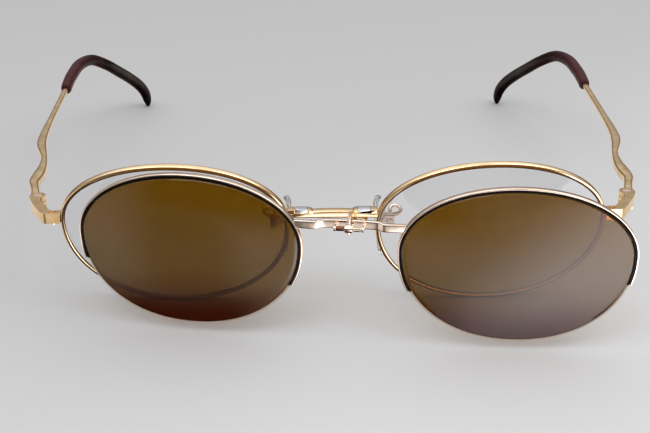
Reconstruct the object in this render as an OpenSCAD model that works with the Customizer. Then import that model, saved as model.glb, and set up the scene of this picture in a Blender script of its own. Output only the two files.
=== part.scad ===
// Oval metal spectacles with a flip-up tinted clip-on hung from the bridge.
// Millimetres. X runs from the left lens to the right lens, Y runs back along
// the temples, Z is up. The spectacles stand open on the lower edges of the
// rims and on the ends of the temple tips, so z = 0 is the table.

/* [Lenses] */
// Lens width, measured at the middle of the rim
lens_w = 48; // [44:0.5:56]
// Lens height, measured at the middle of the rim
lens_h = 33.7; // [28:0.2:44]
// Height of the widest line above the middle of the lens
lens_wide = 2.3; // [0:0.1:4]
// Roundness of the upper half (2 is an ellipse, more is squarer)
lens_top_n = 2.04; // [1.8:0.02:3]
// Roundness of the lower half
lens_low_n = 2.12; // [1.8:0.02:3]
// Radius of the front curve of the lenses
lens_r = 160; // [90:1:400]
// Thickness of a clear lens
lens_t = 1.1; // [0.8:0.1:2.5]
// Distance of each lens middle from the middle of the bridge
lens_off = 33.5; // [30:0.1:40]
// Turn of each lens back toward its temple
wrap = 2; // [0:0.1:8]

/* [Spectacle front] */
// Lean of the front, upper edge forward
lean = 10.9; // [0:0.5:15]
// Radial thickness of the rims
rim_w = 1.0; // [0.8:0.1:2.5]
// Depth of the rims from front to back
rim_d = 1.4; // [1:0.1:3]
// Depth of the bridge bar
bridge_d = 2.0; // [1.2:0.1:3]
// Height of the bridge bar
bridge_h = 1.7; // [1:0.1:3]
// Height of the flat underside of the bridge bar above the table
bridge_z = 21.3; // [19:0.1:24]

/* [Temples] */
// Half the distance between the hinge axes
hinge_x = 64.8; // [60:0.1:72]
// Distance of the hinge axes behind the foot of the rims
hinge_y = 7; // [4:0.1:10]
// Height of the top of the hinge barrel above the table
hinge_top = 21.8; // [18:0.1:25]
// Height of the hinge barrel
hinge_h = 3.5; // [3:0.1:5]
// Outer radius of the hinge barrel
hinge_r = 1.7; // [1.3:0.1:2.5]
// Radius of the hinge screw
pin_r = 0.6; // [0.5:0.05:0.8]
// Rise of a temple for each millimetre that it runs back
temple_rise = 0.046; // [0:0.002:0.1]

// How far each temple stands open past square, left then right
left_open = 1.1; // [-3:0.1:5]
right_open = -1.1; // [-3:0.1:5]

/* [Clip-on] */
// Lens width of the clip-on over the rim
clip_w = 47.5; // [44:0.1:56]
// Middle of the clip-on, to the side
clip_x = 3.5; // [-5:0.1:5]
// Middle of the clip-on, front to back
clip_y = -17.8; // [-30:0.1:-14]
// Middle of the clip-on, height
clip_z = 18.2; // [17:0.1:24]
// Turn of the clip-on about the vertical as it hangs
clip_yaw = -7.5; // [-9:0.5:0]
// Lean of the clip-on as it hangs, lower edge forward
clip_lean = -1.6; // [-10:0.1:0]
// Distance of each clip-on lens middle from the middle of its bridge
clip_off = 33.1; // [30:0.1:40]
// Turn of each clip-on lens back toward its outer end
clip_wrap = 3.7; // [0:0.1:8]
// Radial thickness of the half rims
half_w = 0.45; // [0.35:0.05:2]
// Depth of the half rims
half_d = 1.4; // [1:0.1:3]
// Thickness of a tinted lens
tint_t = 1.2; // [0.8:0.1:2.5]
// Distance of the hinge pin in front of the lens plane
flip_y = 3.9; // [2:0.1:6]
// Height of the hinge pin above the middle of the lenses
flip_z = 7.75; // [6:0.05:12]
// Radius of the hinge pin
flip_r = 0.3; // [0.25:0.05:0.4]

/* [Running clearances] */
// Radial clearance of the hinge screws and pins
run = 0.03; // [0.01:0.01:0.1]
// Gap between faces that turn past each other
side_gap = 0.05; // [0.03:0.01:0.2]

/* [Hidden] */

gold = [0.83, 0.66, 0.38];
rose = [0.86, 0.62, 0.50];
steel = [0.78, 0.78, 0.78];
clear = [0.92, 0.93, 0.94, 0.35];
tint = [0.36, 0.24, 0.12, 0.75];
wine = [0.20, 0.05, 0.06];

sag = lens_w * lens_w / 8 / lens_r;
front_lift = 0.786;
// The foot of the rims, so that the origin lies under the middle of the whole.
front_y = -54.69;
front_x = 1.35;
rim_mid = rim_w / 2;
bridge_y0 = -4.6;
foot_x = clip_x + tan(-clip_yaw) * (bridge_y0 - (clip_y - flip_y));

eye_h = hinge_h / 3;

// ---- outlines -------------------------------------------------------------
function bow(v, n) = sign(v) * pow(abs(v), 2 / n);
// A point of the lens outline at angle a; k moves the outline outward.
function lens_pt(a, k, w) =
  let (up = sin(a) >= 0, n = up ? lens_top_n : lens_low_n,
       h = up ? lens_h / 2 - lens_wide : lens_h / 2 + lens_wide)
  [(w / 2 + k) * bow(cos(a), n), lens_wide + (h + k) * bow(sin(a), n)];
module outline(k, w) polygon([for (a = [0 : 5 : 355]) lens_pt(a, k, w)]);
module prism(k, w, d) rotate([90, 0, 0]) linear_extrude(d, center = true)
  outline(k, w);
module shell(half) translate([0, lens_r - sag, 0]) difference() {
  sphere(r = lens_r + half, $fn = 180);
  sphere(r = lens_r - half, $fn = 180);
}
// A curved ring between two offsets of the outline.
module ring(k1, k2, w, d) intersection() {
  difference() { prism(k1, w, 9); prism(k2, w, 10); }
  shell(d / 2);
}
module disc(k, w, d) intersection() { prism(k, w, 9); shell(d / 2); }

// ---- sweeps ---------------------------------------------------------------
function knot(a, b, c, d, t) = 0.5 * (2 * b + (c - a) * t
  + (2 * a - 5 * b + 4 * c - d) * t * t + (3 * b - a - 3 * c + d) * t * t * t);
function spline(p, n) = let (m = len(p) - 1) [for (i = [0 : m - 1])
  for (j = [0 : n - 1]) knot(p[max(i - 1, 0)], p[i], p[i + 1],
  p[min(i + 2, m)], j / n), p[m]];
function pos(q) = [q[0], q[1], q[2]];
function unit(v) = v / norm(v);
// Rows of [x, y, z, width, height] become one closed solid with n sides.
module sweep(rows, n, e = 1, up = [0, 0, 1]) {
  m = len(rows);
  pts = [for (i = [0 : m - 1]) let (
    t = unit(pos(rows[min(i + 1, m - 1)]) - pos(rows[max(i - 1, 0)])),
    s = unit(cross(t, up)), u = cross(s, t))
    for (j = [0 : n - 1]) let (a = 360 * j / n, c = cos(a), d = sin(a))
      pos(rows[i]) + s * rows[i][3] / 2 * sign(c) * pow(abs(c), e)
      + u * rows[i][4] / 2 * sign(d) * pow(abs(d), e)];
  sides = [for (i = [0 : m - 2]) for (j = [0 : n - 1]) let (k = (j + 1) % n)
    each [[i * n + j, i * n + k, (i + 1) * n + k],
          [i * n + j, (i + 1) * n + k, (i + 1) * n + j]]];
  polyhedron(points = pts, faces = concat([[for (j = [n - 1 : -1 : 0]) j]],
    [[for (j = [0 : n - 1]) (m - 1) * n + j]], sides), convexity = 8);
}

// ---- placing --------------------------------------------------------------
module side(s) translate([front_x, front_y, 0]) other(s) children();
module other(s) mirror([s < 0 ? 1 : 0, 0, 0]) children();
// From the lens's own frame to the leaning spectacle front, on the right.
module front_lens() translate([0, 0.4, front_lift]) rotate([lean, 0, 0])
  translate([lens_off, 0, lens_h / 2]) rotate([0, 0, wrap]) children();
module clip() translate([clip_x + front_x, clip_y + front_y, clip_z]) rotate([0, 0, clip_yaw])
  rotate([clip_lean, 0, 0]) children();
module clip_lens(s) clip() other(s) translate([clip_off, 0, 0])
  rotate([0, 0, clip_wrap]) children();
// Frame of the arm: middle of the hinge pin, turned with the clip-on.
module arm_frame() clip() translate([0, -flip_y, flip_z])
  rotate([-clip_lean, 0, 0]) children();
module upper_part() translate([0, 0, -4.8]) rotate([0, -3.4, 0])
  translate([-40, -8, 0]) cube([80, 16, 40]);
module lower_part() translate([0, 0, -4.8]) rotate([0, -3.4, 0])
  translate([-40, -8, -40]) cube([80, 16, 39.98]);

// ---- spectacle front ------------------------------------------------------
module rim(s) color(gold) side(s) front_lens() ring(rim_mid, -rim_mid, lens_w, rim_d);
module lens(s) color(clear) side(s) front_lens() disc(-rim_mid - 0.01, lens_w, lens_t);
module left_rim() rim(-1);
module right_rim() rim(1);
module left_lens() lens(-1);
module right_lens() lens(1);

// Bar between the rims, with a raised seat for a magnet at each end and a
// slot for the keeper plate in its flat underside.
module bridge() color(gold) side(1) difference() {
  union() {
    translate([0, bridge_y0, 0]) rotate([90, 0, 0]) linear_extrude(bridge_d, center = true)
      intersection() {
        translate([0, bridge_z + bridge_h - 60]) circle(r = 60, $fn = 360);
        translate([-9.8, bridge_z]) square([19.6, 5]);
      }
    for (s = [-1, 1]) other(s) translate([0, bridge_y0 + 1, 0]) rotate([90, 0, 0])
      linear_extrude(2) polygon([[4.2, bridge_z + 1], [9.8, bridge_z + 1],
        [9.8, bridge_z + 1.9], [4.95, bridge_z + 1.9], [4.2, bridge_z + 1.55]]);
  }
  for (s = [-1, 1]) {
    translate([s * 6.6 - 1.36, bridge_y0 - 1.2, bridge_z + 1.15]) cube([2.72, 2.4, 2]);
    other(s) front_lens() prism(rim_mid + 0.01, lens_w, 9);
  }
  translate([-6.02, bridge_y0 - 0.72, bridge_z - 1]) cube([12.04, 1.44, 1.42]);
}
module bridge_keeper() color(steel) side(1) translate([-6, bridge_y0 - 0.7, bridge_z])
  cube([12, 1.4, 0.4]);
module magnet(s) color(steel) side(1) translate([s * 6.6 - 1.35, bridge_y0 - 0.9, bridge_z + 1.16])
  cube([2.7, 1.8, 0.85]);
module left_magnet() magnet(-1);
module right_magnet() magnet(1);

// Lug that wraps from the rim round to the two fixed plates of the hinge.
module endpiece(s) color(gold) side(s) difference() {
  union() {
    translate([0, 0, hinge_top - 2.2]) linear_extrude(2.3) polygon([
      [57.2, -3.4], [60.9, -3.4], [61.4, -3.3], [61.85, -3.0], [62.2, -2.55],
      [63.0, -1.2], [63.9, 0.4], [64.8, 2.1], [65.5, 3.6], [66.0, 4.8],
      [66.35, 5.8], [66.45, 6.5], [65.2, 6.4], [64.7, 5.6],
      [63.4, 3.6], [61.9, 1.2], [60.8, -0.8], [60.2, -1.5], [57.2, -1.5]]);
    translate([hinge_x, hinge_y, hinge_top - hinge_h]) cylinder(r = hinge_r, h = hinge_h, $fn = 48);
    translate([hinge_x, hinge_y, hinge_top - hinge_h]) linear_extrude(hinge_h)
      polygon([[-0.9, -1.3], [-0.1, -2.6], [1.0, -2.2], [1.55, -0.6]]);
  }
  translate([hinge_x, hinge_y, hinge_top - 2 * eye_h - side_gap])
    cylinder(r = hinge_r + 0.7, h = eye_h + 2 * side_gap, $fn = 48);
  translate([hinge_x, hinge_y, hinge_top - hinge_h - 1]) cylinder(r = pin_r + run, h = hinge_h + 2, $fn = 48);
  translate([hinge_x, hinge_y, hinge_top - 0.55]) cylinder(r = 1.1, h = 1, $fn = 48);
  translate([59.5, -2.45, 15]) cylinder(r = 0.5, h = 10, $fn = 32);
  translate([59.5, -2.45, hinge_top - 0.8]) cylinder(r = 0.72, h = 2, $fn = 32);
  front_lens() prism(rim_mid + 0.01, lens_w, 12);
}
module left_endpiece() endpiece(-1);
module right_endpiece() endpiece(1);

// Screws: shank, head and a driver slot.
module screw(r, head, len, h) difference() {
  union() {
    translate([0, 0, -len]) cylinder(r = r, h = len - h + 0.01, $fn = 48);
    translate([0, 0, -h]) cylinder(r = head, h = h, $fn = 48);
  }
  translate([-head - 1, -0.13, -0.22]) cube([2 * head + 2, 0.26, 1]);
}
module rim_screw(s) color(steel) side(s) translate([59.5, -2.45, hinge_top - 0.32])
  screw(0.49, 0.7, 2.4, 0.46);
module left_rim_screw() rim_screw(-1);
module right_rim_screw() rim_screw(1);
module hinge_screw(s) color(steel) side(s) translate([hinge_x, hinge_y, hinge_top - 0.02])
  screw(pin_r, 1.05, hinge_h - 0.05, 0.5);
module left_hinge_screw() hinge_screw(-1);
module right_hinge_screw() hinge_screw(1);

// ---- nose pads ------------------------------------------------------------
pad_x = 12.6;
pad_y = 4.6;
pad_z = 16.6;
module pad_arm(s) color(gold) side(s) difference() {
  sweep(spline([
    [9.9, -3.0, 21.1, 0.85, 0.85], [11.2, -1.8, 20.8, 0.85, 0.85],
    [12.9, -0.4, 20.1, 0.85, 0.85], [14.3, 1.8, 19.4, 0.85, 0.85],
    [14.9, 3.7, 19.3, 0.85, 0.85], [14.4, 5.1, 19.6, 0.85, 0.85],
    [13.4, 5.4, 19.7, 0.85, 0.85], [12.75, 5.1, 19.2, 0.85, 0.85],
    [12.65, 4.7, 18.4, 0.85, 0.85], [12.65, 4.6, 17.8, 0.85, 0.85]], 4), 10, 1,
    [0.2, -0.9, 0.6]);
  front_lens() ring(rim_mid + 0.02, -rim_mid - 0.02, lens_w, rim_d + 0.04);
}
module left_pad_arm() pad_arm(-1);
module right_pad_arm() pad_arm(1);
// Open box that holds the insert of the pad between two walls.
module pad_box(s) color(gold) side(s) translate([pad_x, pad_y, pad_z]) difference() {
  translate([-0.7, -0.95, -1.2]) cube([1.7, 1.9, 2.4]);
  translate([-1.7, -0.45, -2]) cube([2.3, 0.9, 4]);
  rotate([90, 0, 0]) cylinder(r = 0.36, h = 4, center = true, $fn = 32);
}
module left_pad_box() pad_box(-1);
module right_pad_box() pad_box(1);
module pad_screw(s) color(steel) side(s) translate([pad_x, pad_y, pad_z]) rotate([90, 0, 0]) {
  translate([0, 0, -0.95]) cylinder(r = 0.35, h = 1.95, $fn = 32);
  translate([0, 0, 0.96]) cylinder(r = 0.6, h = 0.35, $fn = 32);
}
module left_pad_screw() pad_screw(-1);
module right_pad_screw() pad_screw(1);
// Back face of a pad, turned to lie along the side of the nose.
module pad_face() translate([-1.62, 0, 0]) rotate([0, 0, -12]) rotate([0, -6.5, 0])
  children();
// Metal tab that turns on the pad screw; its foot sits against the pad.
module pad_insert(s) color(steel) side(s) translate([pad_x, pad_y, pad_z]) difference() {
  union() {
    rotate([90, 0, 0]) cylinder(r = 0.55, h = 0.8, center = true, $fn = 32);
    translate([-1.4, -0.4, -0.45]) cube([1.4, 0.8, 0.9]);
    pad_face() translate([0.01, -0.9, -1.5]) cube([0.33, 1.8, 3.0]);
  }
  rotate([90, 0, 0]) cylinder(r = 0.35 + run, h = 4, center = true, $fn = 32);
}
module left_pad_insert() pad_insert(-1);
module right_pad_insert() pad_insert(1);
// Clear pad, a crowned teardrop.
module nose_pad(s) color(clear) side(s) translate([pad_x, pad_y, pad_z]) pad_face()
  rotate([0, 90, 0]) hull() {
    translate([4.8, 0, -0.5]) cylinder(r = 3.5, h = 0.5, $fn = 32);
    translate([-2.3, 0.2, -0.5]) cylinder(r = 2.8, h = 0.5, $fn = 32);
    translate([4.8, 0.3, -1.2]) cylinder(r = 3.8, h = 0.4, $fn = 32);
    translate([-2.3, 0.5, -1.2]) cylinder(r = 3.0, h = 0.4, $fn = 32);
    translate([4.0, 0.6, -1.7]) cylinder(r = 2.4, h = 0.3, $fn = 32);
    translate([-1.6, 0.7, -1.7]) cylinder(r = 1.9, h = 0.3, $fn = 32);
  }
module left_nose_pad() nose_pad(-1);
module right_nose_pad() nose_pad(1);

// ---- temples --------------------------------------------------------------
function tz(y) = hinge_top - hinge_h / 2 + temple_rise * (y - hinge_y);
function tp(x, y, w, h) = [x, y, tz(y), w, h];
// Everything on a temple turns with it about its hinge axis.
module opened(s) side(s) translate([hinge_x, hinge_y, 0])
  rotate([0, 0, s < 0 ? -left_open : -right_open]) translate([-hinge_x, -hinge_y, 0])
  children();
// Moving eye of the hinge with a short flat shank.
module temple_eye(s) color(gold) opened(s) difference() {
  union() {
    translate([hinge_x, hinge_y, hinge_top - 2 * eye_h + side_gap])
      cylinder(r = hinge_r, h = eye_h - 2 * side_gap, $fn = 48);
    translate([hinge_x, hinge_y, hinge_top - 2 * eye_h + side_gap])
      linear_extrude(eye_h - 2 * side_gap) polygon([[-0.2, 0.2], [1.69, 0], [2.05, 1.88], [0.1, 2.25]]);
  }
  translate([hinge_x, hinge_y, 10]) cylinder(r = pin_r + run, h = 20, $fn = 48);
}
module left_temple_eye() temple_eye(-1);
module right_temple_eye() temple_eye(1);
// Flat springy side bar with a double wave, thinning to a wire.
module temple(s) color(gold) opened(s) sweep(spline([
    tp(65.85, 9.12, 2.1, 2.2), tp(66.25, 11.2, 2.0, 2.4), tp(66.9, 13.8, 1.9, 2.4),
    tp(67.7, 17, 2.3, 2.4),
    tp(67.5, 21, 2.6, 2.3), tp(67.4, 25, 2.1, 2.1), tp(68.1, 31, 1.5, 1.9),
    tp(70.3, 39, 2.3, 1.8), tp(71.0, 46, 2.0, 1.6), tp(71.2, 56, 1.5, 1.4),
    tp(71.3, 68, 1.4, 1.3), tp(71.3, 78, 1.4, 1.3)], 3), 12, 0.7);
module left_temple() temple(-1);
module right_temple() temple(1);
// Plastic sleeve over the end of the wire, bent down behind the ear.
module tip(s) color(wine) opened(s) sweep(spline([
    [71.3, 78.1, 23.36, 2.4, 2.4], [71.3, 79.0, 23.41, 2.8, 2.9],
    [71.25, 82, 24.0, 2.9, 2.95],
    [71.0, 86, 24.7, 3.0, 3.0], [70.0, 94, 25.6, 3.0, 3.1],
    [67.8, 101.2, 24.9, 2.9, 3.1], [64.8, 108, 21.4, 2.9, 3.1],
    [62.6, 115.5, 17.0, 2.9, 3.2], [60.6, 123, 12.6, 2.9, 3.3],
    [58.6, 129, 8.3, 2.9, 3.4], [57.3, 132.0, 4.8, 2.9, 3.3],
    [56.8, 132.7, 2.2, 2.5, 2.8], [56.7, 132.75, 0.6, 1.5, 1.6],
    [56.7, 132.75, 0.01, 0.6, 0.6]], 3), 12, 0.85, [0, 1, 1]);
module left_tip() tip(-1);
module right_tip() tip(1);

// ---- arm that carries the clip-on -----------------------------------------
module foot_magnet() color(steel) side(1) translate([foot_x, bridge_y0, bridge_z - 0.92])
  cylinder(r = 1.2, h = 0.9, $fn = 48);
// Cup round the magnet, level strap, riser behind the strip and a hook over it.
module clip_arm() color(gold) difference() {
  union() {
    side(1) translate([foot_x, bridge_y0, bridge_z - 1.45]) cylinder(r = 1.65, h = 1.35, $fn = 48);
    arm_frame() difference() {
      rotate([90, 0, 90]) linear_extrude(0.7, center = true)
        polygon([[16.9, -6.1], [16.9, -5.35], [5.1, -0.3], [4.6, 0.35], [4.55, 1.6],
                 [4.1, 2.05], [0.85, 2.05], [0.85, 1.5], [3.8, 1.5], [3.95, 1.35],
                 [3.95, -0.1], [4.5, -0.95], [15.9, -5.75], [16.2, -6.1]]);
    }
  }
  side(1) translate([foot_x, bridge_y0, bridge_z - 0.96]) cylinder(r = 1.2 + run, h = 3, $fn = 48);
}
// Head that carries the hinge pin in front of the strip.
module hinge_head() color(rose) arm_frame() difference() {
  union() {
    rotate([0, 90, 0]) cylinder(r = 0.8, h = 1.6, center = true, $fn = 48);
    translate([-0.3, 0.1, 0.45]) cube([0.6, 0.74, 1.6]);
    translate([0, 0, -1.2]) cylinder(r = 0.35, h = 0.8, $fn = 32);
  }
  rotate([0, 90, 0]) cylinder(r = flip_r + run, h = 5, center = true, $fn = 48);
}

// ---- clip-on --------------------------------------------------------------
module at_pin() clip() translate([0, -flip_y, flip_z]) children();
module clip_bridge() color(rose) difference() {
  clip() sweep(spline([
    [-11.8, -1.5, 7.4, 0.9, 1.7], [-9, -1.7, 7.45, 0.9, 1.7],
    [-6.8, -1.7, 7.45, 0.9, 1.7], [-5.3, -1.1, 7.6, 0.9, 1.75],
    [0, -1.05, 7.7, 0.9, 1.8], [5.3, -1.1, 7.6, 0.9, 1.75],
    [6.8, -1.7, 7.45, 0.9, 1.7], [9, -1.7, 7.45, 0.9, 1.7],
    [11.8, -1.5, 7.4, 0.9, 1.7]], 4), 12, 0.35);
  for (s = [-1, 1]) clip_lens(s) prism(0.01, clip_w, 9);
}
// Two ears that join the strip to the ends of the hinge pin.
module clip_ears() color(rose) at_pin() for (u = [-2.95, 2.55]) difference() {
  union() {
    translate([u, 0, 0]) rotate([0, 90, 0]) cylinder(r = 0.55, h = 0.45, $fn = 48);
    translate([u, 0, -0.5]) cube([0.45, 2.36, 0.9]);
  }
  translate([u - 1, 0, 0]) rotate([0, 90, 0]) cylinder(r = flip_r, h = 3, $fn = 48);
}
module flip_pin() color(steel) at_pin() translate([-3.05, 0, 0]) rotate([0, 90, 0])
  cylinder(r = flip_r, h = 6.15, $fn = 48);
module pin_sleeve() color([0.16, 0.08, 0.05]) at_pin() translate([-2.48, 0, 0])
  rotate([0, 90, 0]) difference() {
    cylinder(r = 0.48, h = 1.6, $fn = 48);
    translate([0, 0, -1]) cylinder(r = flip_r + 0.01, h = 4, $fn = 48);
  }
module flip_spring() color(steel) at_pin() translate([0.88, 0, 0])
  rotate([0, 90, 0]) difference() {
    cylinder(r = 0.53, h = 1.6, $fn = 48);
    translate([0, 0, -1]) cylinder(r = flip_r + 0.06, h = 4, $fn = 48);
  }

module half_rim(s) color(rose) clip_lens(s) intersection() {
  ring(0, -half_w, clip_w, half_d);
  upper_part();
}
module left_half_rim() half_rim(-1);
module right_half_rim() half_rim(1);
module liner(s) color([0.05, 0.04, 0.04]) clip_lens(s) intersection() {
  ring(-half_w - 0.01, -1.02, clip_w, half_d - 0.4);
  upper_part();
}
module left_liner() liner(-1);
module right_liner() liner(1);
module tinted(s) color(tint) clip_lens(s) disc(-1.03, clip_w, tint_t);
module left_tint() tinted(-1);
module right_tint() tinted(1);
module cord(s) color([0.75, 0.68, 0.6]) clip_lens(s) intersection() {
  ring(-0.47, -1.02, clip_w, 0.6);
  lower_part();
}
module left_cord() cord(-1);
module right_cord() cord(1);
// Steel dots behind the strip that meet the magnets on the bridge.
module keeper(s) color(steel) clip() other(s) translate([7.9, -1.23, 7.45])
  rotate([-90, 0, 0]) cylinder(r = 0.6, h = 0.7, $fn = 32);
module left_keeper() keeper(-1);
module right_keeper() keeper(1);

left_rim();
right_rim();
left_lens();
right_lens();
bridge();
bridge_keeper();
left_magnet();
right_magnet();
left_endpiece();
right_endpiece();
left_rim_screw();
right_rim_screw();
left_hinge_screw();
right_hinge_screw();
left_pad_arm();
right_pad_arm();
left_pad_box();
right_pad_box();
left_pad_screw();
right_pad_screw();
left_pad_insert();
right_pad_insert();
left_nose_pad();
right_nose_pad();
left_temple_eye();
right_temple_eye();
left_temple();
right_temple();
left_tip();
right_tip();
foot_magnet();
clip_arm();
hinge_head();
clip_bridge();
clip_ears();
flip_pin();
pin_sleeve();
flip_spring();
left_half_rim();
right_half_rim();
left_liner();
right_liner();
left_tint();
right_tint();
left_cord();
right_cord();
left_keeper();
right_keeper();
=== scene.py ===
import math

import bmesh
import bpy
from mathutils import Matrix, Vector


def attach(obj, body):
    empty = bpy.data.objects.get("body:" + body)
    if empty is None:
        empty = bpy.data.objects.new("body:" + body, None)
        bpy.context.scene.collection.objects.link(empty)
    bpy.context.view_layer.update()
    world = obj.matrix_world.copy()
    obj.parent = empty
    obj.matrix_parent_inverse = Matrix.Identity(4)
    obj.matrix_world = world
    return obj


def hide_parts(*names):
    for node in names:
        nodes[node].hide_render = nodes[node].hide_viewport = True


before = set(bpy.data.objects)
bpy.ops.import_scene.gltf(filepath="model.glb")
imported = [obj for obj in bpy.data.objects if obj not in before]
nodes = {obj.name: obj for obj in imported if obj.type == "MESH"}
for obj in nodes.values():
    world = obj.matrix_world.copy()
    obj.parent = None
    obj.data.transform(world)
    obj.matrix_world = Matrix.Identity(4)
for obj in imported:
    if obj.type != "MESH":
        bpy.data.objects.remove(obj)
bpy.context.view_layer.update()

MM = 0.001
FX, FY = 1.35, -54.69


# ---- frames, in millimetres ------------------------------------------------
def T(x, y, z):
    return Matrix.Translation((x, y, z))


def R(deg, axis):
    return Matrix.Rotation(math.radians(deg), 4, axis)


def flip(s):
    return Matrix.Diagonal((s, 1, 1, 1))


def side(s):
    return T(FX, FY, 0) @ flip(s)


def front_lens(s):
    return side(s) @ T(0, 0.4, 0.786) @ R(10.9, "X") @ T(33.5, 0, 16.85) @ R(2, "Z")


CLIP = T(3.5 + FX, -17.8 + FY, 18.2) @ R(-7.5, "Z") @ R(-1.6, "X")
PIN = CLIP @ T(0, -3.9, 7.75)
ARM = PIN @ R(1.6, "X")


def clip_lens(s):
    return CLIP @ flip(s) @ T(33.1, 0, 0) @ R(3.7, "Z")


def opened(s):
    return side(s) @ T(64.8, 7, 0) @ R(s * 1.1, "Z") @ T(-64.8, -7, 0)


# ---- outlines --------------------------------------------------------------
LENS_R, SAG, WIDE, H = 160.0, 1.8, 2.3, 33.7


def bow(v, n):
    return math.copysign(abs(v) ** (2 / n), v)


def lens_pt(a, k, w=48.0):
    """A point of the lens outline at angle a (radians), k mm outside it."""
    c, d = math.cos(a), math.sin(a)
    n, h = (2.04, H / 2 - WIDE) if d >= 0 else (2.12, H / 2 + WIDE)
    return (w / 2 + k) * bow(c, n), WIDE + (h + k) * bow(d, n)


def on_lens(x, z, d):
    """The point above (x, z) on the sphere d mm in front of the lens's middle."""
    return Vector((x, LENS_R - SAG - math.sqrt((LENS_R + d) ** 2 - x * x - z * z), z))


def section(n, e, w, h):
    """n points of a superellipse, w by h across."""
    out = []
    for j in range(n):
        a = 2 * math.pi * j / n
        c, d = math.cos(a), math.sin(a)
        out.append((w / 2 * math.copysign(abs(c) ** e, c), h / 2 * math.copysign(abs(d) ** e, d)))
    return out


# ---- mesh building ---------------------------------------------------------
def loft(rings, closed=False):
    """Rings of points joined into a skin, with a lid at each end unless closed."""
    n, m = len(rings[0]), len(rings)
    verts = [p for r in rings for p in r]
    faces = []
    for i in range(m if closed else m - 1):
        k = (i + 1) % m
        for j in range(n):
            l = (j + 1) % n
            faces.append((i * n + j, i * n + l, k * n + l, k * n + j))
    if not closed:
        for i, flat in ((0, True), (m - 1, False)):
            mid = sum((Vector(p) for p in rings[i]), Vector()) / n
            verts.append(mid)
            c = len(verts) - 1
            for j in range(n):
                l = (j + 1) % n
                faces.append((i * n + l, i * n + j, c) if flat else (i * n + j, i * n + l, c))
    return verts, faces


def knot(a, b, c, d, t):
    return 0.5 * (2 * b + (c - a) * t + (2 * a - 5 * b + 4 * c - d) * t * t + (3 * b - a - 3 * c + d) * t ** 3)


def spline(p, n):
    m, out = len(p) - 1, []
    for i in range(m):
        for j in range(n):
            q = (p[max(i - 1, 0)], p[i], p[i + 1], p[min(i + 2, m)])
            out.append([knot(q[0][k], q[1][k], q[2][k], q[3][k], j / n) for k in range(len(p[0]))])
    out.append(list(p[m]))
    return out


def sweep(rows, n=28, e=1.0, up=(0, 0, 1), round_by=0.0):
    """Rows of x, y, z, width, height become a skin; its ends are rounded over round_by mm."""
    up, m = Vector(up), len(rows)
    frames = []
    for i in range(m):
        t = (Vector(rows[min(i + 1, m - 1)][:3]) - Vector(rows[max(i - 1, 0)][:3])).normalized()
        s = t.cross(up).normalized()
        frames.append((Vector(rows[i][:3]), t, s, s.cross(t), rows[i][3], rows[i][4]))

    def ring(f, shift=0.0, less=0.0):
        p, t, s, u, w, h = f
        return [p + t * shift + s * a + u * b for a, b in section(n, e, w - 2 * less, h - 2 * less)]

    rings = [ring(f) for f in frames]
    if round_by:
        r, first, last = round_by, frames[0], frames[-1]
        a = [ring(first, r - r * math.cos(q), r - r * math.sin(q)) for q in (0.05, 0.4, 0.8, 1.2)]
        b = [ring(last, -(r - r * math.cos(q)), r - r * math.sin(q)) for q in (1.2, 0.8, 0.4, 0.05)]

        def along(f, g, far):
            return (g[0] - f[0]).length > far

        keep = [i for i in range(m) if along(frames[i], first, r) and along(frames[i], last, r)]
        rings = a + [ring(frames[i]) for i in keep] + b
    return loft(rings)


def revolve(profile, n=40, axis="Z"):
    """A closed profile of (radius, height) turned about an axis."""
    rings = []
    for i in range(n):
        a = 2 * math.pi * i / n
        rings.append([Vector((r * math.cos(a), r * math.sin(a), h)) for r, h in profile])
    v, f = loft(rings, closed=True)
    if axis == "X":
        v = [Vector((p.z, p.x, p.y)) for p in v]
    return v, f


def soft_tube(ri, ro, z0, z1, c=0.12):
    """Profile of a tube with eased edges."""
    return [(ri, z0 + c), (ri + c * 0.3, z0 + c * 0.3), (ri + c, z0), (ro - c, z0), (ro - c * 0.3, z0 + c * 0.3),
            (ro, z0 + c), (ro, z1 - c), (ro - c * 0.3, z1 - c * 0.3), (ro - c, z1), (ri + c, z1),
            (ri + c * 0.3, z1 - c * 0.3), (ri, z1 - c)]


def eased(verts, faces, width, segments=3, angle=28):
    """The same solid with its hard edges rounded."""
    bm = bmesh.new()
    vs = [bm.verts.new(v) for v in verts]
    for f in faces:
        bm.faces.new([vs[i] for i in f])
    bmesh.ops.recalc_face_normals(bm, faces=bm.faces)
    bmesh.ops.dissolve_limit(bm, angle_limit=math.radians(1), verts=bm.verts, edges=bm.edges)
    edges = [e for e in bm.edges if len(e.link_faces) == 2 and e.calc_face_angle() > math.radians(angle)]
    bmesh.ops.bevel(bm, geom=edges, offset=width, segments=segments, profile=0.6, affect="EDGES", clamp_overlap=True)
    bm.verts.index_update()
    out = [v.co.copy() for v in bm.verts], [tuple(v.index for v in f.verts) for f in bm.faces]
    bm.free()
    return out


def slab(points, lo, hi, width=0.15, along="Z"):
    """An outline pushed from lo to hi, with eased edges. Along X its points are (y, z)."""
    n = len(points)
    if along == "Z":
        v = [Vector((x, y, h)) for h in (lo, hi) for x, y in points]
    elif along == "X":
        v = [Vector((h, x, y)) for h in (lo, hi) for x, y in points]
    else:
        v = [Vector((x, h, y)) for h in (lo, hi) for x, y in points]
    f = [tuple(range(n - 1, -1, -1)), tuple(range(n, 2 * n))]
    f += [(i, (i + 1) % n, n + (i + 1) % n, n + i) for i in range(n)]
    return eased(v, f, width)


def block(lo, hi, width=0.12):
    return slab([(lo[0], lo[1]), (hi[0], lo[1]), (hi[0], hi[1]), (lo[0], hi[1])], lo[2], hi[2], width)


def disc(r, n=40):
    return [(r * math.cos(2 * math.pi * i / n), r * math.sin(2 * math.pi * i / n)) for i in range(n)]


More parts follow.
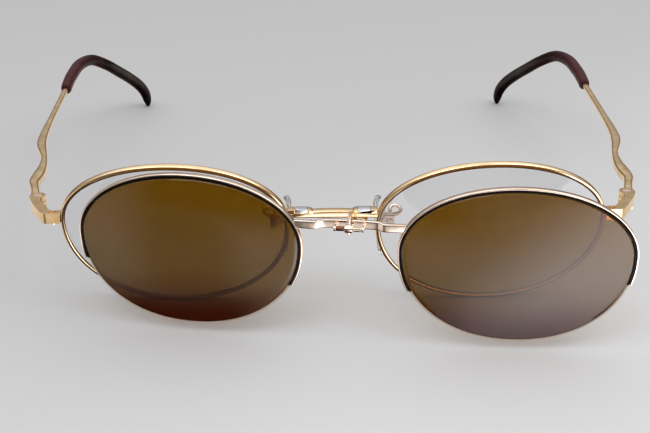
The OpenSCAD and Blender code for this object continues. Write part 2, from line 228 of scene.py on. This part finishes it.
def piece(name, parts, material, body, hides=(), sharp=40, subdivide=0):
    """One object from (matrix, (verts, faces)) parts in millimetres."""
    bm = bmesh.new()
    for matrix, (verts, faces) in parts:
        vs = [bm.verts.new((matrix @ Vector(v)) * MM) for v in verts]
        fs = [bm.faces.new([vs[i] for i in f]) for f in faces]
        bmesh.ops.recalc_face_normals(bm, faces=fs)
    mesh = bpy.data.meshes.new(name)
    bm.to_mesh(mesh)
    bm.free()
    obj = bpy.data.objects.new(name, mesh)
    bpy.context.scene.collection.objects.link(obj)
    mesh.polygons.foreach_set("use_smooth", [True] * len(mesh.polygons))
    if sharp:
        mesh.set_sharp_from_angle(angle=math.radians(sharp))
    if subdivide:
        mod = obj.modifiers.new("smooth", "SUBSURF")
        mod.levels = mod.render_levels = subdivide
    mesh.materials.append(material)
    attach(obj, body)
    if hides:
        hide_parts(*hides)
    return obj


# ---- materials -------------------------------------------------------------
class Nodes:
    def __init__(self, name):
        self.m = bpy.data.materials.new(name)
        self.m.use_nodes = True
        self.t = self.m.node_tree
        self.t.nodes.clear()
        self.out = self.add("ShaderNodeOutputMaterial")
        self.co = self.add("ShaderNodeTexCoord").outputs["Object"]

    def add(self, kind, **sets):
        n = self.t.nodes.new(kind)
        for k, v in sets.items():
            if hasattr(n, k):
                setattr(n, k, v)
            else:
                n.inputs[k.replace("_", " ")].default_value = v
        return n

    def join(self, a, b):
        self.t.links.new(a, b)

    def noise(self, scale, detail=3.0, stretch=None, rough=0.5):
        """Noise over the object's own coordinates, which are metres: scale is per metre."""
        n = self.add("ShaderNodeTexNoise", Scale=scale, Detail=detail, Roughness=rough)
        co = self.co
        if stretch:
            m = self.add("ShaderNodeMapping", Scale=stretch)
            self.join(co, m.inputs["Vector"])
            co = m.outputs["Vector"]
        self.join(co, n.inputs["Vector"])
        return n.outputs["Fac"]

    def ramp(self, fac, *stops, ease="EASE"):
        r = self.add("ShaderNodeValToRGB")
        r.color_ramp.interpolation = ease
        while len(r.color_ramp.elements) < len(stops):
            r.color_ramp.elements.new(0.5)
        for el, (p, c) in zip(r.color_ramp.elements, stops):
            el.position = p
            el.color = (*c, 1) if len(c) == 3 else c
        self.join(fac, r.inputs["Fac"])
        return r.outputs["Color"]

    def spread(self, fac, a, b, lo=0.3, hi=0.7):
        r = self.add("ShaderNodeMapRange", From_Min=lo, From_Max=hi, To_Min=a, To_Max=b)
        self.join(fac, r.inputs["Value"])
        return r.outputs["Result"]

    def math(self, op, a, b=None, clamp=False):
        n = self.add("ShaderNodeMath", operation=op, use_clamp=clamp)
        for i, v in enumerate((a, b)):
            if v is None:
                continue
            if isinstance(v, (int, float)):
                n.inputs[i].default_value = v
            else:
                self.join(v, n.inputs[i])
        return n.outputs[0]

    def bump(self, height, distance, strength=0.5, normal=None):
        n = self.add("ShaderNodeBump", Strength=strength, Distance=distance)
        self.join(height, n.inputs["Height"])
        if normal is not None:
            self.join(normal, n.inputs["Normal"])
        return n.outputs["Normal"]

    def axis(self, which):
        s = self.add("ShaderNodeSeparateXYZ")
        self.join(self.co, s.inputs[0])
        return s.outputs[which]


def metal(name, light, deep, rough=(0.1, 0.2), grain=0.25, edge=0.00008, stretch=None):
    """Polished plate: faint cloudiness in its colour and gloss, fine hairlines and softened edges."""
    k = Nodes(name)
    p = k.add("ShaderNodeBsdfPrincipled", Metallic=1.0)
    k.join(k.ramp(k.noise(420, 4), (0.3, deep), (0.72, light)), p.inputs["Base Color"])
    k.join(k.spread(k.noise(900, 5, rough=0.65), *rough), p.inputs["Roughness"])
    soft = k.add("ShaderNodeBevel", samples=3, Radius=edge).outputs["Normal"]
    lines = k.noise(2600, 2, stretch=stretch or (1, 1, 6))
    k.join(k.bump(lines, 0.000012, grain, soft), p.inputs["Normal"])
    k.join(p.outputs[0], k.out.inputs["Surface"])
    return k.m


gold = metal("polished_gold", (1.0, 0.77, 0.48), (0.94, 0.67, 0.38))
# painted shade: a darker copy of the polished gold, so the endpieces and temple eyes come out less bright
shaded_lug_gold = metal("lug_gold_painted_shade", (0.92, 0.68, 0.38), (0.80, 0.54, 0.27), rough=(0.08, 0.16))
gold_satin = metal("satin_gold", (0.88, 0.67, 0.40), (0.74, 0.53, 0.29), rough=(0.16, 0.26), grain=0.12,
                   stretch=(3, 1, 3))
rose = metal("rose_gold", (0.98, 0.83, 0.72), (0.94, 0.74, 0.60), rough=(0.09, 0.18))
steel = metal("steel", (0.86, 0.80, 0.72), (0.72, 0.64, 0.55), rough=(0.16, 0.28))
magnet_metal = metal("nickel_magnet", (0.80, 0.84, 0.88), (0.62, 0.66, 0.72), rough=(0.2, 0.34), grain=0.6)
wire = metal("pad_wire", (0.92, 0.78, 0.66), (0.80, 0.62, 0.50), rough=(0.08, 0.16))
spring_metal = metal("spring_wire", (0.80, 0.72, 0.56), (0.62, 0.54, 0.40), rough=(0.14, 0.26))
# painted shade: the pin sleeve, a gold tube lying in shade under the strip, is given a dark brown metal
shaded_sleeve_metal = metal("sleeve_painted_shade", (0.30, 0.13, 0.07), (0.16, 0.06, 0.03), rough=(0.16, 0.3))


def black_liner():
    k = Nodes("black_liner")
    p = k.add("ShaderNodeBsdfPrincipled", Specular_IOR_Level=0.12)
    k.join(k.ramp(k.noise(1500, 4), (0.3, (0.002, 0.0015, 0.0015)), (0.75, (0.008, 0.006, 0.006))), p.inputs["Base Color"])
    k.join(k.spread(k.noise(2200, 3), 0.22, 0.4), p.inputs["Roughness"])
    k.join(k.bump(k.noise(3500, 2), 0.00001, 0.3), p.inputs["Normal"])
    k.join(p.outputs[0], k.out.inputs["Surface"])
    return k.m


def nylon():
    k = Nodes("nylon_line")
    p = k.add("ShaderNodeBsdfPrincipled", IOR=1.5)
    k.join(k.ramp(k.noise(260, 2), (0.3, (0.60, 0.52, 0.43)), (0.7, (0.68, 0.60, 0.51))), p.inputs["Base Color"])
    k.join(k.spread(k.noise(400, 2), 0.3, 0.38), p.inputs["Roughness"])
    k.join(p.outputs[0], k.out.inputs["Surface"])
    return k.m


def acetate():
    """Moulded sleeve: wine brown where it runs level, nearly black where it drops."""
    k = Nodes("wine_sleeve")
    p = k.add("ShaderNodeBsdfPrincipled", IOR=1.46, Specular_IOR_Level=0.10)
    along = k.spread(k.axis("Y"), 0.0, 1.0, 0.034, 0.052)
    clouds = k.noise(260, 5, rough=0.6)
    mixed = k.math("ADD", k.math("MULTIPLY", along, 0.8), k.math("MULTIPLY", k.spread(clouds, -0.2, 0.25), 1.0))
    k.join(k.ramp(mixed, (0.0, (0.060, 0.016, 0.018)), (0.5, (0.030, 0.008, 0.009)), (0.95, (0.002, 0.001, 0.001))),
           p.inputs["Base Color"])
    k.join(k.spread(k.noise(1200, 4), 0.24, 0.4), p.inputs["Roughness"])
    k.join(k.bump(k.noise(900, 4), 0.00003, 0.25), p.inputs["Normal"])
    k.join(p.outputs[0], k.out.inputs["Surface"])
    return k.m


def lens_glass(name, build, ior=1.5, rough=(0.0, 0.02), pale=0.5):
    """Clear or tinted lens. build makes its colour. Lamps shine through it through that colour raised to the power
    pale; below 0.5 this is painted light, a cast shadow paler than the tint gives.
    """
    k = Nodes(name)
    p = k.add("ShaderNodeBsdfPrincipled", IOR=ior, Transmission_Weight=1.0)
    colour = build(k)
    k.join(colour, p.inputs["Base Color"])
    k.join(k.spread(k.noise(160, 2), *rough), p.inputs["Roughness"])
    # painted light: shadow rays see the colour raised to the power pale, which lightens the lens's cast shadow when
    # pale is below 0.5
    paled_shadow_tint = k.add("ShaderNodeGamma", Gamma=pale)
    k.join(colour, paled_shadow_tint.inputs["Color"])
    clear = k.add("ShaderNodeBsdfTransparent")
    k.join(paled_shadow_tint.outputs[0], clear.inputs["Color"])
    path = k.add("ShaderNodeLightPath")
    mix = k.add("ShaderNodeMixShader")
    k.join(path.outputs["Is Shadow Ray"], mix.inputs[0])
    k.join(p.outputs[0], mix.inputs[1])
    k.join(clear.outputs[0], mix.inputs[2])
    k.join(mix.outputs[0], k.out.inputs["Surface"])
    return k.m


def clear_colour(k):
    return k.ramp(k.noise(60, 2), (0.3, (0.955, 0.957, 0.965)), (0.7, (0.975, 0.975, 0.985)))


def tint_colour(k):
    """Amber brown above, running to a darker mauve brown at the lower edge."""
    height = k.spread(k.axis("Z"), 0.0, 1.0, 0.003, 0.032)
    clouds = k.spread(k.noise(55, 2), -0.05, 0.05)
    return k.ramp(k.math("ADD", height, clouds, clamp=True),
                  (0.0, (0.090, 0.015, 0.006)), (0.42, (0.190, 0.100, 0.024)), (0.95, (0.215, 0.100, 0.005)))


def pad_colour(k):
    return k.ramp(k.noise(180, 3), (0.3, (0.90, 0.93, 0.84)), (0.7, (0.95, 0.96, 0.91)))


liner_black = black_liner()
line = nylon()
sleeve = acetate()
clear_lens = lens_glass("clear_lens", clear_colour)
# painted light: pale 0.2 makes the tinted lenses cast a much paler shadow than their tint gives
tinted = lens_glass("tinted_lens", tint_colour, pale=0.2)
pad_plastic = lens_glass("clear_pad", pad_colour, ior=1.46, rough=(0.06, 0.16))

# ---- rims and lenses -------------------------------------------------------
AROUND = 200
CW = 47.5


def band(k_mid, k_w, d_w, angles, closed, e=0.75, n=20, wide=48.0):
    """A band that follows the lens outline, k_w wide in its plane and d_w deep."""
    rings = []
    for a in angles:
        ring = []
        for u, v in section(n, e, k_w, d_w):
            x, z = lens_pt(a, k_mid + u, wide)
            ring.append(on_lens(x, z, v))
        rings.append(ring)
    return loft(rings, closed)


def lens_solid(k, t, edge=0.16, wide=48.0):
    """A curved lens with an eased, ground edge."""
    steps = [0.0] + [1 - (1 - i / 9) ** 1.6 for i in range(1, 9)]
    angles = [2 * math.pi * i / AROUND for i in range(AROUND)]
    rings = []

    def ring(scale, kk, d):
        r = []
        for a in angles:
            x, z = lens_pt(a, kk, wide)
            r.append(on_lens(x * scale, z * scale if scale < 1 else z, d))
        return r

    for s in steps[1:]:
        rings.append(ring(s, k - edge, t / 2))
    rings += [ring(1, k - edge, t / 2), ring(1, k - edge * 0.3, t / 2 - edge * 0.35), ring(1, k, t / 2 - edge),
              ring(1, k, 0), ring(1, k, -t / 2 + edge), ring(1, k - edge * 0.3, -t / 2 + edge * 0.35),
              ring(1, k - edge, -t / 2)]
    for s in reversed(steps[1:]):
        rings.append(ring(s, k - edge, -t / 2))
    v, f = loft(rings)
    v[-2], v[-1] = on_lens(0, 0, t / 2), on_lens(0, 0, -t / 2)
    return v, f


def cut_angles(k):
    """The two angles where the half rim ends and the nylon line begins."""
    def above(a):
        x, z = lens_pt(a, k, CW)
        return z - (-4.8 + x * math.tan(math.radians(3.4)))

    ends = []
    for inside, outside in ((0.0, -math.pi / 2), (math.pi, 1.5 * math.pi)):
        for _ in range(40):
            mid = (inside + outside) / 2
            inside, outside = (mid, outside) if above(mid) > 0 else (inside, mid)
        ends.append(inside)
    return ends


def run(a, b, n):
    return [a + (b - a) * i / n for i in range(n + 1)]


whole = [2 * math.pi * i / AROUND for i in range(AROUND)]
for s, who in ((-1, "left"), (1, "right")):
    piece(f"{who}_rim_band", [(front_lens(s), band(0, 1.0, 1.4, whole, True, e=0.62))], gold, "frame",
          [f"{who}_rim"])
    piece(f"{who}_clear_lens", [(front_lens(s), lens_solid(-0.51, 1.1))], clear_lens, "frame",
          [f"{who}_lens"], sharp=25)
    a0, a1 = cut_angles(-0.225)
    piece(f"{who}_half_band", [(clip_lens(s), band(-0.225, 0.45, 1.4, run(a0, a1, 130), False, e=0.55, wide=CW))],
          rose, "clip_on", [f"{who}_half_rim"])
    b0, b1 = cut_angles(-0.74)
    piece(f"{who}_black_liner", [(clip_lens(s), band(-0.74, 0.55, 1.0, run(b0, b1, 120), False, e=0.5, wide=CW))],
          liner_black, "clip_on", [f"{who}_liner"])
    c0, c1 = cut_angles(-0.745)
    piece(f"{who}_nylon", [(clip_lens(s), band(-0.745, 0.54, 0.6, run(c1 + 0.002, 2 * math.pi + c0 - 0.002, 90),
                                               False, e=0.9, n=16, wide=CW))], line, "clip_on", [f"{who}_cord"])
    piece(f"{who}_tinted_lens", [(clip_lens(s), lens_solid(-1.03, 1.2, 0.2, CW))], tinted, "clip_on",
          [f"{who}_tint"], sharp=25)

# ---- bridge and magnets ----------------------------------------------------
BY = -4.6


def bridge_bar():
    rings = []
    for x in run(-9.45, 9.45, 60):
        top = 21.3 + 1.7 - 60 + math.sqrt(3600 - x * x)
        mid, h = (21.3 + top) / 2, top - 21.3
        rings.append([Vector((x, BY + a, mid + b)) for a, b in section(28, 0.42, 2.0, h)])
    return loft(rings)


seat = [(4.2, 22.3), (9.35, 22.3), (9.35, 23.2), (7.96, 23.2), (7.96, 22.45), (5.24, 22.45), (5.24, 23.2),
        (4.95, 23.2), (4.2, 22.85)]
seats = [(side(s), slab(seat, BY - 1, BY + 1, 0.08, "Y")) for s in (-1, 1)]
piece("bridge_bar", [(side(1), bridge_bar())] + seats, gold, "frame", ["bridge"])
for s, who in ((-1, "left"), (1, "right")):
    x = s * 6.6
    piece(f"{who}_seat_magnet", [(side(1), block((x - 1.35, BY - 0.9, 22.46), (x + 1.35, BY + 0.9, 23.31), 0.14))],
          magnet_metal, "frame", [f"{who}_magnet"])

# ---- clip-on strip, hinge and arm ------------------------------------------
strip_rows = spline([[-11.8, -1.5, 7.4, 0.9, 1.7], [-9, -1.7, 7.45, 0.9, 1.7], [-6.8, -1.7, 7.45, 0.9, 1.7],
                     [-5.3, -1.1, 7.6, 0.9, 1.75], [0, -1.05, 7.7, 0.9, 1.8], [5.3, -1.1, 7.6, 0.9, 1.75],
                     [6.8, -1.7, 7.45, 0.9, 1.7], [9, -1.7, 7.45, 0.9, 1.7], [11.8, -1.5, 7.4, 0.9, 1.7]], 12)
inner = [r for r in strip_rows if abs(r[0]) < 11.1]
piece("clip_strip", [(CLIP, sweep(inner, 28, 0.3))], rose, "clip_on", ["clip_bridge"])

ears = []
for u in (-2.95, 2.55):
    outline = [(0.55 * math.cos(a), 0.55 * math.sin(a)) for a in run(math.radians(125), math.radians(235), 10)]
    outline += [(0.55 * math.cos(a), 0.55 * math.sin(a)) for a in run(math.radians(240), math.radians(292), 6)]
    outline += [(0.6, -0.5), (2.36, -0.5), (2.36, 0.4), (0.6, 0.4)]
    outline += [(0.55 * math.cos(a), 0.55 * math.sin(a)) for a in run(math.radians(48), math.radians(120), 7)]
    ears.append((PIN, slab(outline, u, u + 0.45, 0.07, "X")))
piece("hinge_ears", ears, rose, "clip_on", ["clip_ears"])

pin_profile = [(0.0, -3.05), (0.2, -3.05), (0.27, -3.02), (0.3, -2.95), (0.3, 3.0), (0.27, 3.07), (0.2, 3.1), (0.0, 3.1)]
rings = [[Vector((h, r * math.cos(2 * math.pi * j / 32), r * math.sin(2 * math.pi * j / 32))) for j in range(32)]
         for r, h in pin_profile[1:-1]]
piece("hinge_pin", [(PIN, loft(rings))], steel, "clip_on", ["flip_pin"])
# painted shade: the dark brown sleeve metal stands for the shade under the strip
piece("hinge_sleeve", [(PIN, revolve(soft_tube(0.31, 0.48, -2.48, -0.88, 0.07), 40, "X"))], shaded_sleeve_metal, "clip_on",
      ["pin_sleeve"])


def coil(r, wire_r, x0, x1, turns, per=28, n=12):
    rings, total = [], turns * per
    for i in range(total + 1):
        a = 2 * math.pi * i / per
        x = x0 + wire_r + (x1 - x0 - 2 * wire_r) * i / total
        p = Vector((x, r * math.cos(a), r * math.sin(a)))
        out = Vector((0, math.cos(a), math.sin(a)))
        rings.append([p + out * wire_r * math.cos(q) + Vector((1, 0, 0)) * wire_r * math.sin(q)
                      for q in (2 * math.pi * j / n for j in range(n))])
    return loft(rings)


piece("coil_spring", [(PIN, coil(0.42, 0.105, 0.88, 2.48, 7))], spring_metal, "clip_on", ["flip_spring"])

head = [(ARM, revolve(soft_tube(0.34, 0.8, -0.8, 0.8, 0.16), 48, "X")),
        (ARM, block((-0.3, 0.1, 0.5), (0.3, 0.84, 2.05), 0.08)),
        (ARM, slab(disc(0.35, 32), -1.2, -0.5, 0.1))]
piece("hinge_barrel", head, rose, "clip_hanger", ["hinge_head"])

foot_x = 3.5 + math.tan(math.radians(7.5)) * (BY - (-17.8 - 3.9))
strap = [(16.9, -6.1), (16.9, -5.35), (5.1, -0.3), (4.6, 0.35), (4.55, 1.6), (4.1, 2.05), (0.85, 2.05), (0.85, 1.5),
         (3.8, 1.5), (3.95, 1.35), (3.95, -0.1), (4.5, -0.95), (15.9, -5.75), (16.2, -6.1)]
cup = [(0.0, 19.85), (1.5, 19.85), (1.61, 19.9), (1.65, 20.0), (1.65, 21.1), (1.6, 21.17), (1.5, 21.2), (1.3, 21.2),
       (1.24, 21.14), (1.23, 21.05), (1.23, 20.34), (0.0, 20.34)]
rings = [[Vector((r * math.cos(2 * math.pi * j / 48), r * math.sin(2 * math.pi * j / 48), h)) for j in range(48)]
         for r, h in cup[1:-1]]
piece("hanger_arm", [(ARM, slab(strap, -0.35, 0.35, 0.1, "X")), (side(1) @ T(foot_x, BY, 0), loft(rings))],
      gold, "clip_hanger", ["clip_arm"])
piece("foot_disc", [(side(1) @ T(foot_x, BY, 0), slab(disc(1.2, 48), 20.38, 21.28, 0.12))], magnet_metal, "clip_foot",
      ["foot_magnet"])
for s, who in ((-1, "left"), (1, "right")):
    dot = CLIP @ flip(s) @ T(7.9, -1.23, 7.45) @ R(-90, "X")
    piece(f"{who}_keeper_dot", [(dot, slab(disc(0.6, 36), 0, 0.7, 0.12))], steel, "clip_on", [f"{who}_keeper"])

# ---- nose pads -------------------------------------------------------------
PX, PY, PZ = 12.6, 4.6, 16.6


def pad():
    """A crowned oval pad, fuller below, that thins to a soft edge."""
    layers = [(0.0, 2.9, 2.2, 0.0, 0.20), (0.02, 3.2, 2.5, 0.0, 0.20), (0.12, 3.45, 2.74, 0.02, 0.24),
              (0.4, 3.68, 2.92, 0.12, 0.34), (0.8, 3.8, 3.0, 0.28, 0.48), (1.1, 3.68, 2.9, 0.36, 0.56),
              (1.35, 3.3, 2.6, 0.44, 0.62), (1.55, 2.75, 2.15, 0.52, 0.66), (1.66, 2.0, 1.6, 0.58, 0.7),
              (1.7, 1.1, 0.9, 0.6, 0.7)]
    rings = []
    for t, r1, r2, y1, y2 in layers:
        ring = []
        for j in range(56):
            a = 2 * math.pi * j / 56
            q = min(max((math.sin(a) + 0.75) / 1.5, 0), 1)
            q = q * q * (3 - 2 * q)
            r, z, y = r1 + (r2 - r1) * q, -4.8 + 7.1 * q, y1 + (y2 - y1) * q
            ring.append(Vector((-t, y + r * math.cos(a), z + r * math.sin(a))))
        rings.append(ring)
    return loft(rings)


arm_rows = [[9.9, -3.0, 21.1, 0.85, 0.85], [11.2, -1.8, 20.8, 0.85, 0.85], [12.9, -0.4, 20.1, 0.85, 0.85],
            [14.3, 1.8, 19.4, 0.85, 0.85], [14.9, 3.7, 19.3, 0.85, 0.85], [14.4, 5.1, 19.6, 0.85, 0.85],
            [13.4, 5.4, 19.7, 0.85, 0.85], [12.75, 5.1, 19.2, 0.85, 0.85], [12.65, 4.7, 18.4, 0.85, 0.85],
            [12.65, 4.6, 17.8, 0.85, 0.85]]
PAD = T(PX, PY, PZ) @ T(-1.62, 0, 0) @ R(-12, "Z") @ R(-6.5, "Y")
for s, who in ((-1, "left"), (1, "right")):
    piece(f"{who}_pad_wire", [(side(s), sweep(spline(arm_rows, 10), 20, 1.0, (0.2, -0.9, 0.6)))], wire, "frame",
          [f"{who}_pad_arm"])
    piece(f"{who}_clear_pad", [(side(s) @ PAD, pad())], pad_plastic, f"{who}_pad",
          [f"{who}_nose_pad"], sharp=60)


# ---- temples ---------------------------------------------------------------
def tp(x, y, w, h):
    return [x, y, 21.8 - 1.75 + 0.046 * (y - 7), w, h]


temple_rows = [tp(65.85, 9.12, 2.1, 2.2), tp(66.25, 11.2, 2.0, 2.4), tp(66.9, 13.8, 1.9, 2.4), tp(67.7, 17, 2.3, 2.4),
               tp(67.5, 21, 2.6, 2.3), tp(67.4, 25, 2.1, 2.1), tp(68.1, 31, 1.5, 1.9), tp(70.3, 39, 2.3, 1.8),
               tp(71.0, 46, 2.0, 1.6), tp(71.2, 56, 1.5, 1.4), tp(71.3, 68, 1.4, 1.3), tp(71.3, 78, 1.4, 1.3)]
tip_rows = [[71.3, 78.1, 23.36, 2.4, 2.4], [71.3, 79.0, 23.41, 2.8, 2.9], [71.25, 82, 24.0, 2.9, 2.95],
            [71.0, 86, 24.7, 3.0, 3.0], [70.0, 94, 25.6, 3.0, 3.1], [67.8, 101.2, 24.9, 2.9, 3.1],
            [64.8, 108, 21.4, 2.9, 3.1], [62.6, 115.5, 17.0, 2.9, 3.2], [60.6, 123, 12.6, 2.9, 3.3],
            [58.6, 129, 8.3, 2.9, 3.4], [57.3, 132.0, 4.8, 2.9, 3.3], [56.8, 132.7, 2.2, 2.5, 2.8],
            [56.7, 132.75, 0.6, 1.5, 1.6], [56.7, 132.75, 0.01, 0.6, 0.6]]
for s, who in ((-1, "left"), (1, "right")):
    piece(f"{who}_side_bar", [(opened(s), sweep(spline(temple_rows, 10), 28, 0.62))], gold_satin, f"{who}_side",
          [f"{who}_temple"])
    piece(f"{who}_sleeve", [(opened(s), sweep(spline(tip_rows, 8), 28, 0.85, (0, 1, 1)))], sleeve, f"{who}_side",
          [f"{who}_tip"], sharp=60)

# ---- CAD nodes that stay, with their own finish; the endpieces and temple eyes take a darker gold that is painted shade ---
kept = {"left_endpiece": shaded_lug_gold, "right_endpiece": shaded_lug_gold, "left_temple_eye": shaded_lug_gold, "right_temple_eye": shaded_lug_gold,
        "left_rim_screw": rose, "right_rim_screw": rose, "left_hinge_screw": rose, "right_hinge_screw": rose,
        "left_pad_box": wire, "right_pad_box": wire, "left_pad_screw": steel, "right_pad_screw": steel,
        "left_pad_insert": wire, "right_pad_insert": wire, "bridge_keeper": steel}
for name, material in kept.items():
    data = nodes[name].data
    data.materials.clear()
    data.materials.append(material)
    for slot in nodes[name].material_slots:
        slot.material = material

# ---- floor, light and camera -----------------------------------------------
mesh = bpy.data.meshes.new("floor")
n, half = 24, 2.2
mesh.from_pydata([(-half + 2 * half * i / n, -half + 2 * half * j / n, -0.00002) for j in range(n + 1) for i in range(n + 1)], [],
                 [(j * (n + 1) + i, j * (n + 1) + i + 1, (j + 1) * (n + 1) + i + 1, (j + 1) * (n + 1) + i)
                  for j in range(n) for i in range(n)])
floor = bpy.data.objects.new("floor", mesh)
bpy.context.scene.collection.objects.link(floor)
k = Nodes("table")
p = k.add("ShaderNodeBsdfPrincipled", Specular_IOR_Level=0.2, Roughness=0.6)
# painted light: the floor runs paler towards the front right and darker to the back left, for how the light falls on
# it
painted_falloff = k.spread(k.math("SUBTRACT", k.axis("X"), k.axis("Y")), 0.0, 1.0, -0.05, 0.16)
grain = k.spread(k.noise(9, 3), -0.03, 0.03)
k.join(k.ramp(k.math("ADD", painted_falloff, grain, clamp=True), (0.0, (0.510, 0.512, 0.522)), (1.0, (0.615, 0.617, 0.628))),
       p.inputs["Base Color"])
k.join(p.outputs[0], k.out.inputs["Surface"])
mesh.materials.append(k.m)
floor.visible_glossy = False

world = bpy.data.worlds.new("room")
bpy.context.scene.world = world
world.use_nodes = True
t = world.node_tree
t.nodes.clear()


def w(kind, **sets):
    node = t.nodes.new(kind)
    for key, v in sets.items():
        if hasattr(node, key):
            setattr(node, key, v)
        else:
            node.inputs[key.replace("_", " ")].default_value = v
    return node


def wm(op, a, b=None):
    node = w("ShaderNodeMath", operation=op)
    for i, v in enumerate((a, b)):
        if v is None:
            continue
        if isinstance(v, (int, float)):
            node.inputs[i].default_value = v
        else:
            t.links.new(v, node.inputs[i])
    return node.outputs[0]


def step(v, lo, hi):
    """0 below lo, 1 above hi, smooth between."""
    node = w("ShaderNodeMapRange", interpolation_type="SMOOTHSTEP", From_Min=lo, From_Max=hi)
    t.links.new(v, node.inputs["Value"])
    return node.outputs["Result"]


sep = w("ShaderNodeSeparateXYZ")
t.links.new(w("ShaderNodeTexCoord").outputs["Generated"], sep.inputs[0])
az = wm("MULTIPLY", wm("ARCTAN2", sep.outputs["X"], wm("MULTIPLY", sep.outputs["Y"], -1.0)), 57.2958)
el = wm("MULTIPLY", wm("ARCSINE", sep.outputs["Z"]), 57.2958)
ramp = w("ShaderNodeValToRGB")
stops = [(-90, (0.08, 0.04, 0.02)), (-50, (0.12, 0.06, 0.035)), (-42, (0.45, 0.40, 0.36)), (-34, (0.36, 0.34, 0.32)),
         (-28, (0.70, 0.67, 0.62)), (-20, (0.80, 0.77, 0.74)), (-12, (0.80, 0.77, 0.74)), (-4, (0.20, 0.15, 0.12)),
         (6, (0.18, 0.13, 0.10)), (16, (0.32, 0.30, 0.29)), (30, (0.62, 0.61, 0.60)), (46, (1.05, 1.05, 1.05)),
         (90, (1.1, 1.1, 1.1))]
while len(ramp.color_ramp.elements) < len(stops):
    ramp.color_ramp.elements.new(0.5)
for e_, (q, c) in zip(ramp.color_ramp.elements, stops):
    e_.position, e_.color = q / 180 + 0.5, (*c, 1)
t.links.new(wm("ADD", wm("DIVIDE", el, 180.0), 0.5), ramp.inputs["Fac"])
# a dark place low in front, and a bright one low to the right of it
dark = wm("MULTIPLY", wm("MULTIPLY", step(az, -48, -32), wm("SUBTRACT", 1.0, step(az, -14, 4))),
          wm("MULTIPLY", step(el, -22, -12), wm("SUBTRACT", 1.0, step(el, 2, 12))))
low = wm("MULTIPLY", wm("MULTIPLY", step(az, -64, -52), wm("SUBTRACT", 1.0, step(az, -12, -2))),
         wm("MULTIPLY", step(el, -60, -50), wm("SUBTRACT", 1.0, step(el, -35, -27))))
spot = wm("MULTIPLY", wm("MULTIPLY", step(az, -46, -34), wm("SUBTRACT", 1.0, step(az, -26, -14))),
          wm("MULTIPLY", step(el, -36, -27), wm("SUBTRACT", 1.0, step(el, -16, -8))))
dark = wm("MAXIMUM", wm("MAXIMUM", dark, low), wm("MULTIPLY", spot, 0.85))
slope = wm("SUBTRACT", az, wm("MULTIPLY", wm("ADD", el, 22.0), 1.1))
bright = wm("MULTIPLY", wm("MULTIPLY", step(slope, -10, 20), wm("SUBTRACT", 1.0, step(az, 48, 70))),
            wm("MULTIPLY", step(el, -46, -22), wm("SUBTRACT", 1.0, step(el, -12, -4))))
mix = w("ShaderNodeMix", data_type="RGBA")
mix.inputs["B"].default_value = (0.02, 0.012, 0.008, 1)
t.links.new(dark, mix.inputs["Factor"])
t.links.new(ramp.outputs["Color"], mix.inputs["A"])
mix2 = w("ShaderNodeMix", data_type="RGBA")
mix2.inputs["B"].default_value = (4.1, 4.1, 4.4, 1)
t.links.new(bright, mix2.inputs["Factor"])
t.links.new(mix.outputs["Result"], mix2.inputs["A"])
back = w("ShaderNodeBackground", Strength=1.0)
t.links.new(mix2.outputs["Result"], back.inputs["Color"])
wall = w("ShaderNodeBackground", Strength=1.0)
wall.inputs["Color"].default_value = (0.60, 0.60, 0.61, 1)
seen = w("ShaderNodeMixShader")
t.links.new(w("ShaderNodeLightPath").outputs["Is Camera Ray"], seen.inputs[0])
t.links.new(back.outputs[0], seen.inputs[1])
t.links.new(wall.outputs[0], seen.inputs[2])
t.links.new(seen.outputs[0], w("ShaderNodeOutputWorld").inputs["Surface"])


def lamp(name, at, to, size, watts, colour):
    data = bpy.data.lights.new(name, "AREA")
    data.shape, data.size, data.energy, data.color = "DISK", size, watts, colour
    obj = bpy.data.objects.new(name, data)
    bpy.context.scene.collection.objects.link(obj)
    obj.location = at
    obj.rotation_euler = (Vector(to) - Vector(at)).to_track_quat("-Z", "Y").to_euler()
    return obj


lamp("key", (0.34, -0.22, 0.60), (0, -0.02, 0), 0.5, 1.35, (1.0, 0.98, 0.96))
lamp("fill", (-0.2, -0.4, 0.6), (0, 0, 0), 0.5, 1.0, (0.97, 0.98, 1.0))

cam_data = bpy.data.cameras.new("camera")
cam_data.sensor_width, cam_data.sensor_fit, cam_data.lens = 36.0, "HORIZONTAL", 64.95
cam_data.clip_start, cam_data.clip_end = 0.01, 20
cam = bpy.data.objects.new("camera", cam_data)
bpy.context.scene.collection.objects.link(cam)
cam.matrix_world = (Matrix.Translation((0.000117, -0.28543, 0.12193)) @ Matrix.Rotation(0.0017, 4, "Z")
                    @ R(66.01, "X") @ Matrix.Rotation(-0.0087, 4, "Z"))
bpy.context.scene.camera = cam
bpy.context.scene.view_settings.view_transform = "Standard"
